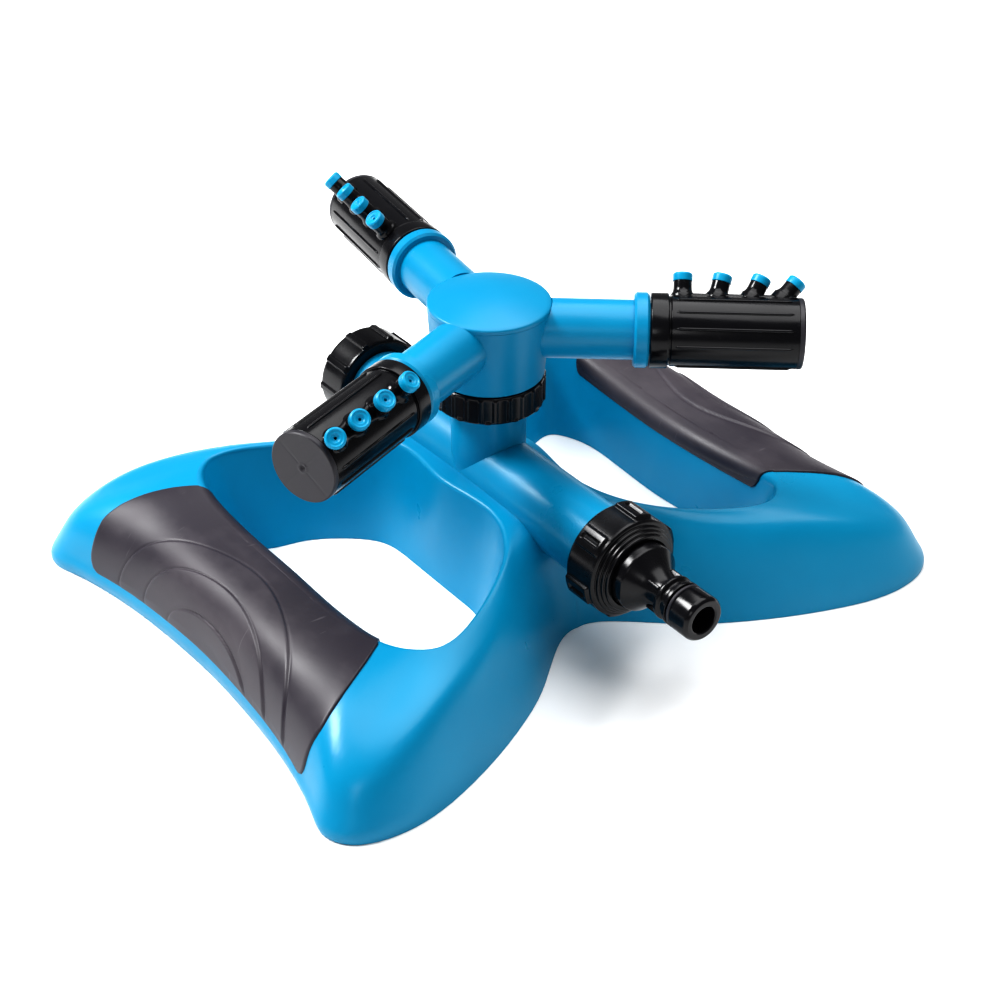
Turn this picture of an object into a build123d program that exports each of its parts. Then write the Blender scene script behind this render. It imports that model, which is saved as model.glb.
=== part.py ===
from build123d import *
import math
import os

# Three-arm rotary lawn sprinkler on a twin-handled moulded base.
# Millimetres, +Z up. The origin is on the ground under the rotor's axis.
# The hose inlet points along -Y and the flush cap along +Y.

# ---------------------------------------------------------------- base shell
WALL = 2.5               # moulded wall of the base
GRIP_THICKNESS = 0.9     # rubber skin moulded over each handle
GRIP_END = ((82.0, 52.0), (87.0, 57.8), (93.4, 61.8), (101.5, 65.9), (109.8, 69.4), (117.0, 71.7), (124.0, 71.0))
GRIP_LOW_INSIDE = (76.0, 26.0, 31.5)     # x, lower edge at the middle and at the ends
GRIP_LOW_OUTSIDE = (132.0, -1.0, 1.5)
SKIN_STEPS = (0.0, 0.16, 0.33, 0.5, 0.67, 0.84, 1.0)

# One half (y >= 0) of the guide stations that run round the right hand opening,
# from the middle of the handle, over the toe and the back bar, to the spine.
# Each one holds: ground outline (x, y), shoulder control point (x, y, z),
# fullness of the shoulder, rim of the opening (x, y, z), rim radius,
# foot of the opening wall (x, y). Stations with x < 0 lie inside the left lobe.
STATIONS = (
    ((117.0, 0.0), (117.5, 0.0, 35.0), 1.5, (81.7, 0.0, 30.5), 6.0, (77.0, 0.0)),
    ((117.9, 24.0), (118.4, 23.0, 35.0), 1.4, (82.3, 22.0, 31.0), 6.0, (78.0, 20.0)),
    ((120.8, 52.0), (121.0, 48.0, 34.3), 1.05, (82.9, 42.0, 32.6), 5.5, (78.5, 34.0)),
    ((126.2, 77.0), (126.0, 73.0, 34.0), 0.95, (82.8, 54.0, 34.0), 4.0, (77.0, 44.0)),
    ((129.6, 89.3), (125.0, 86.0, 28.0), 1.4, (80.8, 62.0, 34.8), 2.5, (73.5, 51.5)),
    ((124.5, 98.8), (120.0, 92.5, 25.5), 1.8, (77.5, 66.5, 35.0), 1.8, (69.5, 54.0)),
    ((112.0, 103.2), (109.0, 95.0, 27.0), 2.3, (73.5, 69.2, 35.0), 1.5, (65.0, 53.2)),
    ((97.0, 102.8), (94.0, 93.0, 29.5), 2.8, (69.0, 69.8, 35.0), 1.5, (60.5, 51.5)),
    ((80.0, 98.2), (77.0, 87.0, 31.5), 3.0, (63.5, 68.8, 35.2), 1.5, (56.0, 50.2)),
    ((62.0, 91.0), (60.0, 79.0, 32.6), 3.0, (56.0, 65.5, 35.5), 1.5, (51.0, 49.2)),
    ((45.0, 82.3), (46.0, 69.5, 33.5), 3.0, (47.0, 60.2, 36.0), 1.5, (44.0, 46.5)),
    ((30.0, 72.3), (35.5, 60.5, 35.0), 2.6, (37.0, 53.5, 37.2), 1.5, (35.5, 41.0)),
    ((15.0, 59.5), (24.0, 51.0, 37.5), 2.2, (28.0, 46.0, 39.2), 1.5, (28.5, 34.5)),
    ((0.0, 53.0), (6.0, 45.0, 40.0), 2.0, (22.0, 37.5, 40.8), 1.5, (25.0, 28.0)),
    ((-13.0, 57.0), (-6.0, 43.0, 42.0), 2.0, (19.3, 30.0, 41.6), 1.5, (24.0, 21.0)),
    ((-20.0, 38.0), (-14.0, 28.0, 42.5), 2.0, (18.5, 22.0, 42.0), 1.5, (24.0, 15.0)),
    ((-20.0, 12.0), (-16.0, 10.0, 42.6), 2.0, (19.8, 11.0, 42.4), 1.5, (24.0, 7.5)),
    ((-20.0, 0.0), (-16.0, 0.0, 42.6), 2.0, (21.0, 0.0, 42.5), 1.5, (24.0, 0.0)),
)

# ---------------------------------------------------------------- water pipe
PIPE_Z = 41.1            # height of the run pipe's axis
PIPE_R = 13.5
PIPE_BORE = 10.5
PIPE_COLLAR_R = 13.85
PIPE_COLLAR_LENGTH = 5.3
PIPE_FRONT = -66.8       # shoulder that the inlet nut screws up to
PIPE_BACK = 67.7         # shoulder that the end cap screws up to
THREAD_R = 13.35
THREAD_LENGTH = 9.2
SEAT_CLEARANCE = 0.05
SCREW_PLACES = (-36.0, -17.0, 17.0, 36.0)
SCREW_BOSS_R = 6.0
BOSS_BOTTOM = 25.0
CENTRE_POST_R = 6.0
RIB_PLACES = (-26.5, 0.0, 26.5)
POST_R = 3.4
POST_FOOT_Z = 25.2
SCREW_R = 1.4
SCREW_DEPTH = 4.7
SCREW_HEAD_R = 4.8
SCREW_HEAD_HEIGHT = 2.4
GASKET_THICKNESS = 1.6

# ---------------------------------------------------------------- column
COLUMN_R = 13.3
COLUMN_TOP = 75.0
COLUMN_BORE = 9.8
BEARING_BOTTOM = 60.0
SPINDLE_R = 8.0
RUNNING = 0.05           # radial running clearance of shafts and threads

# ---------------------------------------------------------------- rotor
ARM_Z = 96.5
ARM_ANGLES = (-38.9, 81.1, 201.1)
ARM_R = 10.3
ARM_BORE = 8.0
ARM_FLANGE = (49.2, 54.4, 12.9)
SPIGOT_R = 9.3
SPIGOT_END = 63.5
SPIGOT_GROOVE = 58.2
HUB_BOTTOM = 79.3
HUB_RIM = 104.6
HUB_R_LOW = 19.3
HUB_R_HIGH = 21.4
HUB_WALL = 2.4
HUB_FLOOR = 83.0
DOME_TOP = 109.4
CROWN_R = 77.0

# ---------------------------------------------------------------- nozzle heads
HEAD_START = 54.8
HEAD_COLLAR_END = 60.9
HEAD_END = 104.8
HEAD_R = 12.2
HEAD_COLLAR_R = 12.9
HEAD_BORE = 9.9
PLUG_END = 106.8
NOZZLE_ROLL = 40.0       # nozzles lean this far from straight up, to spin the rotor
NOZZLES = ((65.7, 0.0), (77.7, 13.0), (89.6, 25.0), (100.3, 38.0))
STEM_R = 3.3
STEM_LENGTH = 5.0
PAD_WIDTH = 7.0
RAIL_ANGLES = (-100, -70, -42, 42, 70, 100, 180)
JET_R = 0.5
TIP_R = 3.4
TIP_HEIGHT = 2.9
NOZZLE_BORE = 1.1
TIP_SEAT = 0.9           # length of a tip's stub inside its nozzle

# ---------------------------------------------------------------- nuts and inlet
NUT_R = 18.0
NUT_BACK = -67.1
NUT_FRONT = -80.6
CAP_FRONT = 68.2
CAP_END = 82.2
LUG_HEIGHT = 1.3
RING_NUT_BOTTOM = 68.4
RING_NUT_TOP = 78.9
RING_NUT_R = 19.4
FLANGE_BOTTOM = 75.8     # spindle flange, caught under the ring nut's lip
FLANGE_TOP = 76.8
WASHER_THICKNESS = 0.6
SEAL_Z = 65.0
NECK_R = 12.0
NOSE_R = 8.0
NOSE_BORE = 4.8
NOSE_END = -116.0
NOSE_LAND = -107.8
O_RING_PLACE = -106.6


# ================================================================ helpers
def closed_loop(points):
    """A smooth closed curve through a half list of points and its mirror in y."""
    mirrored = [Vector(p.X, -p.Y, p.Z) for p in reversed(points[1:-1])]
    stations = list(range(len(points + mirrored) + 1))
    return Wire([Edge.make_spline(points + mirrored, periodic=True, parameters=stations)])


def turned(profile, axis):
    """A solid of revolution from (radius, station) points along Z or along Y."""
    flat = [(r, 0.0, s) for r, s in profile]
    solid = revolve(make_face(Polyline(flat, close=True)), Axis.Z)
    if axis == "Y":
        return Pos(0, 0, PIPE_Z) * Rot(-90, 0, 0) * solid
    return solid


def tube(outer, inner, start, end, axis="Z"):
    """A plain ring between two stations."""
    return turned([(inner, start), (outer, start), (outer, end), (inner, end)], axis)


def round_bar(radius, start, end, axis="Z"):
    """A solid cylinder between two stations of an axis."""
    return turned([(0.0, start), (radius, start), (radius, end), (0.0, end)], axis)


def o_ring(ring_radius, cord_radius, station, axis="Z"):
    """A round-section seal."""
    ring = Pos(0, 0, station) * Torus(ring_radius, cord_radius)
    if axis == "Y":
        return Pos(0, 0, PIPE_Z) * Rot(-90, 0, 0) * ring
    return ring


def ribs(count, radius, height, width, start, end, offset=0.0):
    """Longitudinal ribs round the Z axis, their feet sunk in the surface."""
    rib = Pos(radius + height / 2 - 0.4, 0, (start + end) / 2) * Box(height + 0.8, width, end - start)
    return [Rot(0, 0, offset + k * 360 / count) * rib for k in range(count)]


def along_y(shape):
    """Turn a piece that was built on Z to lie along +Y on the run pipe's axis."""
    return Pos(0, 0, PIPE_Z) * Rot(-90, 0, 0) * shape


def on_arm(shape, angle, roll=NOZZLE_ROLL):
    """Put a piece that was built on +X, nozzles up, on the arm at this angle."""
    return Pos(0, 0, ARM_Z) * Rot(0, 0, angle) * Rot(-roll, 0, 0) * shape


def lying(shape):
    """Lay a piece that was built on Z along +X."""
    return Rot(0, 90, 0) * shape


# ================================================================ base
def outward(rim, ground):
    """Unit direction in plan from the opening's rim to the ground outline."""
    return (Vector(ground[0], ground[1]) - Vector(rim[0], rim[1])).normalized()


def skin_point(station, inset, step):
    """A point of the lobe's top skin: a conic from the rim over the shoulder to the ground."""
    ground, shoulder, fullness, rim, radius, _ = station
    away = outward(rim, ground)
    start = Vector(*rim) + away * radius - Vector(0, 0, inset)
    middle = Vector(*shoulder) - away * inset - Vector(0, 0, inset)
    end = Vector(*ground, 0) - away * inset - Vector(0, 0, min(inset, 1.0))
    weights = ((1 - step) ** 2, 2 * step * (1 - step) * fullness, step ** 2)
    return (start * weights[0] + middle * weights[1] + end * weights[2]) * (1 / sum(weights))


def rim_point(station, inset, turn):
    """A point of the rounded rim; turn runs from 0 at the top skin to 90 at the wall."""
    ground, _, _, rim, radius, _ = station
    away = outward(rim, ground)
    top = Vector(*rim) - Vector(0, 0, inset)
    back = radius * (1 - math.sin(math.radians(turn)))
    drop = radius * (1 - math.cos(math.radians(turn)))
    return top + away * (back + inset * math.sin(math.radians(turn))) - Vector(0, 0, drop)


def foot_point(station, inset):
    """The foot of the opening's wall."""
    ground, _, _, rim, _, foot = station
    return Vector(*foot, 0) + outward(rim, ground) * inset - Vector(0, 0, min(inset, 1.0))


def lobe(inset=0.0):
    """One ring-shaped lobe of the base, with every face moved inward by inset."""
    skin = [closed_loop([skin_point(s, inset, t) for s in STATIONS]) for t in reversed(SKIN_STEPS)]
    rounding = [closed_loop([rim_point(s, inset, t) for s in STATIONS]) for t in (0, 45, 90)]
    foot = closed_loop([foot_point(s, inset) for s in STATIONS])
    faces = list(Shell.make_loft(skin).faces())
    faces += Shell.make_loft(rounding).faces()
    faces += Shell.make_loft([rounding[-1], foot]).faces()
    faces.append(Face(skin[0], [foot]))
    return Solid(Shell(faces))


def both_lobes(inset=0.0):
    """The two lobes joined into one body with a smooth valley at the middle."""
    right = lobe(inset) & Pos(100, 0, 30) * Box(200, 300, 100)
    return right + mirror(right, Plane.YZ)


def below_grip():
    """Everything under the grip's lower edges on the two sides of the right handle."""
    sections = []
    for x, middle, end in (GRIP_LOW_INSIDE, GRIP_LOW_OUTSIDE):
        arc = ThreePointArc((x, -75, end), (x, 0, middle), (x, 75, end))
        legs = Polyline((x, 75, end), (x, 75, -30), (x, -75, -30), (x, -75, end))
        sections.append(make_face([arc, legs]))
    return loft(sections, ruled=True)


def grip_zone():
    """The space over the right handle that its rubber grip fills."""
    corner = GRIP_END[-1]
    far = [Spline(*GRIP_END), Line(corner, (140, corner[1] - 8)), Line(GRIP_END[0], (70, GRIP_END[0][1] - 6))]
    near = [mirror(edge, Plane.XZ) for edge in far]
    sides = [Line((x, -y), (x, y)) for x, y in ((140, corner[1] - 8), (70, GRIP_END[0][1] - 6))]
    return extrude(make_face(far + near + sides), 60) - below_grip()


def handle_grip():
    """The right grip: a rubber skin moulded over the handle."""
    skin = (lobe(-GRIP_THICKNESS) - lobe()) & grip_zone()
    return max(skin.solids(), key=lambda solid: solid.volume)


def base_shell():
    """The blue shell: open underneath, with a trough for the pipe and seats for its screws."""
    outer = both_lobes()
    trough = round_bar(PIPE_R + SEAT_CLEARANCE, -120, 120, "Y")
    trough_wall = round_bar(PIPE_R + SEAT_CLEARANCE + WALL, -120, 120, "Y")
    shell = outer - (both_lobes(WALL) - trough_wall)
    stiffeners = Pos(0, 0, 15) * Cylinder(CENTRE_POST_R, 30)
    for y in RIB_PLACES:
        height = 30 if y == 0 else 28
        stiffeners += Pos(0, y, 30 - height / 2) * Box(60, 2, height)
    for y in SCREW_PLACES:
        stiffeners += Pos(0, y, BOSS_BOTTOM) * Cylinder(SCREW_BOSS_R, 6, align=(Align.CENTER, Align.CENTER, Align.MIN))
    shell = shell + (stiffeners & outer) - trough
    for y in SCREW_PLACES:
        shell -= Pos(0, y, BOSS_BOTTOM) * Cylinder(POST_R + 0.2, 12)
    return shell


# ================================================================ water pipe
def tee_pipe():
    """Run pipe and column in one moulding, with four posts for the base screws."""
    front, back = PIPE_FRONT - THREAD_LENGTH, PIPE_BACK + THREAD_LENGTH
    collar = PIPE_FRONT + PIPE_COLLAR_LENGTH
    run = turned([(0, front), (THREAD_R - 0.5, front), (THREAD_R, front + 0.5), (THREAD_R, PIPE_FRONT),
                  (PIPE_COLLAR_R, PIPE_FRONT), (PIPE_COLLAR_R, collar), (PIPE_R, collar + 0.3),
                  (PIPE_R, PIPE_BACK), (THREAD_R, PIPE_BACK), (THREAD_R, back - 0.5),
                  (THREAD_R - 0.5, back), (0, back)], "Y")
    body = run + round_bar(COLUMN_R, PIPE_Z, COLUMN_TOP)
    for y in SCREW_PLACES:
        body += Pos(0, y, 0) * round_bar(POST_R, POST_FOOT_Z, POST_FOOT_Z + 6)
    body -= round_bar(PIPE_BORE, front - 5, back + 5, "Y")
    body -= round_bar(COLUMN_BORE, PIPE_Z, BEARING_BOTTOM)
    body -= round_bar(SPINDLE_R + RUNNING, BEARING_BOTTOM, COLUMN_TOP)
    for y in SCREW_PLACES:
        body -= Pos(0, y, 0) * round_bar(SCREW_R, POST_FOOT_Z, POST_FOOT_Z + SCREW_DEPTH)
    return body


def base_screws():
    """Four pan head screws that hold the pipe down in its trough, driven from below."""
    head = round_bar(SCREW_HEAD_R, BOSS_BOTTOM - SCREW_HEAD_HEIGHT, BOSS_BOTTOM)
    head -= Pos(0, 0, BOSS_BOTTOM - SCREW_HEAD_HEIGHT) * (Box(5, 1, 2.6) + Box(1, 5, 2.6))
    screw = head + round_bar(SCREW_R, BOSS_BOTTOM, POST_FOOT_Z + SCREW_DEPTH - 0.3)
    return [Pos(0, y, 0) * screw for y in SCREW_PLACES]


def inlet_nut():
    """Coupling nut that pulls the hose adapter against the pipe, with six grip lugs."""
    thread = THREAD_R + RUNNING
    steps = [(16.2, NUT_FRONT), (16.2, NUT_FRONT - 1.3), (15.2, NUT_FRONT - 1.3), (15.2, NUT_FRONT - 2.5),
             (14.2, NUT_FRONT - 2.5), (14.2, NUT_FRONT - 3.5)]
    nut = turned([(thread, NUT_BACK), (NUT_R - 0.8, NUT_BACK), (NUT_R, NUT_BACK - 0.8), (NUT_R, NUT_FRONT + 0.8),
                  (NUT_R - 0.8, NUT_FRONT)] + steps + [(NECK_R + 0.3, NUT_FRONT - 3.5),
                  (NECK_R + 0.3, NUT_FRONT + 0.3), (thread, NUT_FRONT + 0.3)], "Y")
    lug = Pos(NUT_R, 0, 0) * Box(2 * LUG_HEIGHT, 7, 10.6)
    lugs = [Rot(0, 0, 15 + 60 * k) * lug for k in range(6)]
    return nut + [Pos(0, (NUT_BACK + NUT_FRONT) / 2, 0) * along_y(piece) for piece in lugs]


def inlet_gasket():
    """Flat washer between the pipe's end and the hose adapter."""
    face = PIPE_FRONT - THREAD_LENGTH
    return tube(THREAD_R - 0.6, 9.8, face - GASKET_THICKNESS, face, "Y")


def inlet_filter():
    """Strainer disc in the gasket's opening: a rim and a grid of bars."""
    face = PIPE_FRONT - THREAD_LENGTH
    rim = tube(9.6, 8.2, -0.6, 0.6)
    bars = [Pos(0, x, 0) * Box(18.6, 0.8, 1.2) for x in (-6, -3, 0, 3, 6)]
    bars += [Pos(x, 0, 0) * Box(0.8, 18.6, 1.2) for x in (-6, -3, 0, 3, 6)]
    grid = rim
    for bar in bars:
        grid += bar & Cylinder(9.0, 4)
    return Pos(0, face - GASKET_THICKNESS / 2, 0) * along_y(grid)


def hose_adapter():
    """Quick-connect nose with its flange inside the nut; its bore narrows to the nose."""
    seat = PIPE_FRONT - THREAD_LENGTH - GASKET_THICKNESS
    outside = [(THREAD_R - 0.3, seat), (THREAD_R - 0.3, NUT_FRONT + 0.9), (NECK_R, NUT_FRONT + 0.9),
               (NECK_R, -88.0), (11.4, -88.6), (9.0, -91.4), (7.2, -93.6), (6.3, -96.0), (6.1, -99.0),
               (7.9, -99.8), (8.0, -101.4), (6.8, -102.2), (6.8, -103.4), (8.0, -104.0), (8.0, -105.4),
               (6.5, -105.6), (6.5, -107.6), (NOSE_R, NOSE_LAND), (NOSE_R, NOSE_END + 1.2),
               (NOSE_R - 0.9, NOSE_END)]
    inside = [(NOSE_BORE, NOSE_END), (NOSE_BORE, -92.0), (9.2, -82.0), (9.2, seat)]
    return turned(outside + inside, "Y")


def nose_fins():
    """Four short stiffening fins on the adapter's waist."""
    fin = Pos(6.6, 0, 0) * Box(2.4, 1.2, 5.2)
    return [Pos(0, -96.9, 0) * along_y(Rot(0, 0, 45 + 90 * k) * fin) for k in range(4)]


def end_cap():
    """Blind cap on the back end of the pipe; it is taken off to flush the pipe."""
    thread = THREAD_R + RUNNING
    floor = PIPE_BACK + THREAD_LENGTH + GASKET_THICKNESS + 0.3
    cap = turned([(thread, CAP_FRONT), (NUT_R - 0.8, CAP_FRONT), (NUT_R, CAP_FRONT + 0.8), (NUT_R, CAP_END - 1.2),
                  (NUT_R - 1.2, CAP_END), (0, CAP_END), (0, floor), (thread, floor)], "Y")
    middle = (CAP_FRONT + CAP_END) / 2
    return cap + [Pos(0, middle, 0) * along_y(rib) for rib in ribs(10, NUT_R, 0.9, 2.6, -5.6, 5.6)]


def end_cap_gasket():
    """Flat washer between the pipe's back end and the cap."""
    face = PIPE_BACK + THREAD_LENGTH
    return tube(THREAD_R - 0.6, 9.8, face, face + GASKET_THICKNESS, "Y")


# ================================================================ rotor bearing
def ring_nut():
    """Ribbed nut on top of the column; its lip keeps the spindle's flange down."""
    nut = turned([(COLUMN_R + RUNNING, RING_NUT_BOTTOM), (RING_NUT_R - 0.8, RING_NUT_BOTTOM),
                  (RING_NUT_R, RING_NUT_BOTTOM + 0.8), (RING_NUT_R, RING_NUT_TOP - 0.6),
                  (RING_NUT_R - 0.6, RING_NUT_TOP), (10.3, RING_NUT_TOP), (10.3, FLANGE_TOP + 0.3),
                  (COLUMN_R + RUNNING, FLANGE_TOP + 0.3)], "Z")
    return nut + ribs(24, RING_NUT_R, 0.5, 1.6, RING_NUT_BOTTOM + 1.0, RING_NUT_TOP - 0.8)


def spindle():
    """Hollow shaft that carries the rotor and feeds it with water."""
    groove = 1.25
    return turned([(5.5, BEARING_BOTTOM + 0.5), (SPINDLE_R, BEARING_BOTTOM + 0.5), (SPINDLE_R, SEAL_Z - 0.8),
                   (SPINDLE_R - groove, SEAL_Z - 0.8), (SPINDLE_R - groove, SEAL_Z + 0.8),
                   (SPINDLE_R, SEAL_Z + 0.8), (SPINDLE_R, FLANGE_BOTTOM), (12.5, FLANGE_BOTTOM),
                   (12.5, FLANGE_TOP), (SPINDLE_R, FLANGE_TOP), (SPINDLE_R, HUB_FLOOR + HUB_WALL + 1.5),
                   (5.5, HUB_FLOOR + HUB_WALL + 1.5)], "Z")


def spindle_seal():
    """O-ring in the spindle's groove."""
    return o_ring(SPINDLE_R - 0.62, 0.6, SEAL_Z)


def thrust_washer():
    """Slippery washer between the column's end and the spindle's flange."""
    return tube(12.6, SPINDLE_R + 0.3, COLUMN_TOP, COLUMN_TOP + WASHER_THICKNESS)


# ================================================================ rotor
def rotor_manifold():
    """Hub cup with three hollow arms, each with a stop flange and a spigot."""
    inner_low = HUB_R_LOW - HUB_WALL
    inner_high = HUB_R_HIGH - HUB_WALL
    cup = turned([(inner_low, HUB_BOTTOM), (HUB_R_LOW - 0.4, HUB_BOTTOM), (HUB_R_LOW, HUB_BOTTOM + 0.4),
                  (HUB_R_HIGH, HUB_RIM), (inner_high, HUB_RIM), (inner_low + 0.4, HUB_FLOOR + HUB_WALL),
                  (SPINDLE_R, HUB_FLOOR + HUB_WALL), (SPINDLE_R, HUB_FLOOR), (inner_low + 0.2, HUB_FLOOR)], "Z")
    start, end, flange_r = ARM_FLANGE
    arm = lying(turned([(0, 12), (ARM_R, 12), (ARM_R, start), (flange_r - 0.8, start), (flange_r, start + 0.8),
                        (flange_r, end - 0.8), (flange_r - 0.8, end), (SPIGOT_R, end), (SPIGOT_R, SPIGOT_GROOVE),
                        (SPIGOT_R - 1.1, SPIGOT_GROOVE), (SPIGOT_R - 1.1, SPIGOT_GROOVE + 1.5),
                        (SPIGOT_R, SPIGOT_GROOVE + 1.5), (SPIGOT_R, SPIGOT_END), (0, SPIGOT_END)], "Z"))
    water = round_bar(inner_low - 0.5, HUB_FLOOR + HUB_WALL, HUB_RIM)
    lid_seat = round_bar(HUB_R_HIGH + 0.03, HUB_RIM, DOME_TOP)
    arms = [on_arm(arm, angle, 0) for angle in ARM_ANGLES]
    bores = [on_arm(lying(round_bar(ARM_BORE - 1.0, 10, 70)), angle, 0) for angle in ARM_ANGLES]
    return (cup + arms) - water - lid_seat - bores


def rotor_dome():
    """Low domed lid of the hub with a crisp rolled edge and a skirt inside the cup."""
    skirt = HUB_R_LOW - HUB_WALL - 0.7
    ball = Pos(0, 0, DOME_TOP - CROWN_R) * Sphere(CROWN_R)
    lid = round_bar(HUB_R_HIGH, HUB_RIM, DOME_TOP + 1) & ball
    rims = [edge for edge in lid.edges().filter_by(GeomType.CIRCLE) if abs(edge.radius - HUB_R_HIGH) < 0.01]
    lid = fillet(max(rims, key=lambda edge: edge.center().Z), 0.9)
    hollow = round_bar(skirt - 1.8, HUB_RIM - 2, DOME_TOP) & Pos(0, 0, DOME_TOP - CROWN_R) * Sphere(CROWN_R - HUB_WALL)
    return (lid + round_bar(skirt, HUB_RIM - 1.0, HUB_RIM)) - hollow


def head_o_ring():
    """Seal on an arm's spigot, built on +X."""
    return lying(o_ring(SPIGOT_R - 0.52, 0.5, SPIGOT_GROOVE + 0.75))


# ================================================================ nozzle heads
def nozzle_place(base, lean):
    """Frame of one nozzle: it stands on the head's axis and leans outward along the arm."""
    foot = base - HEAD_R * math.tan(math.radians(lean))
    return Pos(foot, 0, 0) * Rot(0, lean, 0)


def nozzle_height(lean):
    """Length from the head's axis to the nozzle's shoulder, measured along the nozzle."""
    return HEAD_R / math.cos(math.radians(lean)) + STEM_LENGTH


def nozzle_head():
    """Black barrel with a collar, rails, a pad strip and four drilled nozzle stems, on +X."""
    barrel = lying(turned([(SPIGOT_R + RUNNING, HEAD_START), (HEAD_COLLAR_R - 0.5, HEAD_START),
                           (HEAD_COLLAR_R, HEAD_START + 0.5), (HEAD_COLLAR_R, HEAD_COLLAR_END - 0.6),
                           (HEAD_COLLAR_R - 0.6, HEAD_COLLAR_END), (HEAD_R - 0.3, HEAD_COLLAR_END),
                           (HEAD_R - 0.3, HEAD_COLLAR_END + 0.8), (HEAD_R, HEAD_COLLAR_END + 0.8),
                           (HEAD_R, HEAD_END), (HEAD_BORE, HEAD_END), (HEAD_BORE, SPIGOT_END + 1),
                           (SPIGOT_R + RUNNING, SPIGOT_END + 1)], "Z"))
    rail_length = HEAD_END - HEAD_COLLAR_END - 4
    rail = Pos((HEAD_COLLAR_END + HEAD_END) / 2 + 1, 0, HEAD_R) * Box(rail_length, 1.2, 1.0)
    pad = Pos((HEAD_COLLAR_END + HEAD_END) / 2 + 1, 0, HEAD_R - 0.4) * Box(rail_length, PAD_WIDTH, 2.2)
    body = barrel + [Rot(angle, 0, 0) * rail for angle in RAIL_ANGLES] + pad
    stems = [nozzle_place(x, a) * round_bar(STEM_R, HEAD_BORE + 0.5, nozzle_height(a)) for x, a in NOZZLES]
    body += stems
    body -= lying(round_bar(HEAD_BORE, SPIGOT_END + 1, HEAD_END))
    return body - [nozzle_place(x, a) * round_bar(NOZZLE_BORE, 4, 30) for x, a in NOZZLES]


def nozzle_tips():
    """Four caps of one head: each has a stub in its nozzle and a jet hole in a shallow dish."""
    tips = []
    for base, lean in NOZZLES:
        foot = nozzle_height(lean)
        profile = [(JET_R, foot - TIP_SEAT), (NOZZLE_BORE, foot - TIP_SEAT), (NOZZLE_BORE, foot), (TIP_R, foot),
                   (TIP_R, foot + TIP_HEIGHT - 0.5), (TIP_R - 0.5, foot + TIP_HEIGHT), (1.5, foot + TIP_HEIGHT),
                   (JET_R, foot + TIP_HEIGHT - 0.8)]
        tips.append(nozzle_place(base, lean) * turned(profile, "Z"))
    return tips


def head_end_plug():
    """Flat plug welded in the end of a head, with a gate dimple in its middle."""
    return lying(turned([(0, HEAD_END - 3), (HEAD_BORE, HEAD_END - 3), (HEAD_BORE, HEAD_END), (HEAD_R, HEAD_END),
                         (HEAD_R, PLUG_END - 0.4), (HEAD_R - 0.4, PLUG_END), (0.9, PLUG_END),
                         (0, PLUG_END - 0.5)], "Z"))


# ================================================================ files
def write_node(name, shape):
    """Write one node; a group of separate solids goes in as a compound."""
    solids = shape if isinstance(shape, list) else [shape]
    bodies = [solid for piece in solids for solid in piece.solids()]
    export_step(bodies[0] if len(bodies) == 1 else Compound(bodies), f"parts/{name}.step")


def main():
    os.makedirs("parts", exist_ok=True)
    right_grip = handle_grip()
    adapter = hose_adapter()
    for fin in nose_fins():
        adapter += fin
    nodes = {
        "base_shell": base_shell(), "left_grip": mirror(right_grip, Plane.YZ), "right_grip": right_grip,
        "tee_pipe": tee_pipe(), "base_screws": base_screws(), "inlet_gasket": inlet_gasket(),
        "inlet_filter": inlet_filter(), "inlet_nut": inlet_nut(), "hose_adapter": adapter,
        "adapter_o_ring": o_ring(7.3, 0.7, O_RING_PLACE, "Y"), "end_cap": end_cap(),
        "end_cap_gasket": end_cap_gasket(), "ring_nut": ring_nut(), "spindle": spindle(),
        "spindle_seal": spindle_seal(), "thrust_washer": thrust_washer(), "rotor_manifold": rotor_manifold(),
        "rotor_dome": rotor_dome(),
    }
    on_each_head = {"nozzle_head": nozzle_head(), "head_end_plug": head_end_plug(), "nozzle_tips": nozzle_tips()}
    seal = head_o_ring()
    for number, angle in enumerate(ARM_ANGLES, start=1):
        nodes[f"head_o_ring_{number}"] = on_arm(seal, angle, 0)
        for name, shape in on_each_head.items():
            pieces = shape if isinstance(shape, list) else [shape]
            nodes[f"{name}_{number}"] = [on_arm(piece, angle) for piece in pieces]
    for name, shape in nodes.items():
        write_node(name, shape)


main()
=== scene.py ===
"""Looks of the three-arm sprinkler: fine meshes and materials round the CAD frame.

Lengths in this script are millimetres and become metres when a mesh is made.
"""
import bmesh
import bpy
import math
import numpy as np
from mathutils import Matrix, Vector


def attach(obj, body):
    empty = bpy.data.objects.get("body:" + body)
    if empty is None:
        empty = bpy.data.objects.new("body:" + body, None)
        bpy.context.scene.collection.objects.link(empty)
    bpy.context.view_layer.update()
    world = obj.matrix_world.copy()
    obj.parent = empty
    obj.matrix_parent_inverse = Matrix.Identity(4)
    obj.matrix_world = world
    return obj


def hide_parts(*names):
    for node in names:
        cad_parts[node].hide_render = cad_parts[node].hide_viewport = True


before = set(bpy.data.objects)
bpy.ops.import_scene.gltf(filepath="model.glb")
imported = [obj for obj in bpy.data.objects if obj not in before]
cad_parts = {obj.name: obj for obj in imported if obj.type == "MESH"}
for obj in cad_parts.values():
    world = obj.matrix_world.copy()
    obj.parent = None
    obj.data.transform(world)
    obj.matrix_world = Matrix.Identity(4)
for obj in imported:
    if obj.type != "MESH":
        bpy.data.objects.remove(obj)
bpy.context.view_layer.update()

MM = 0.001

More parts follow.
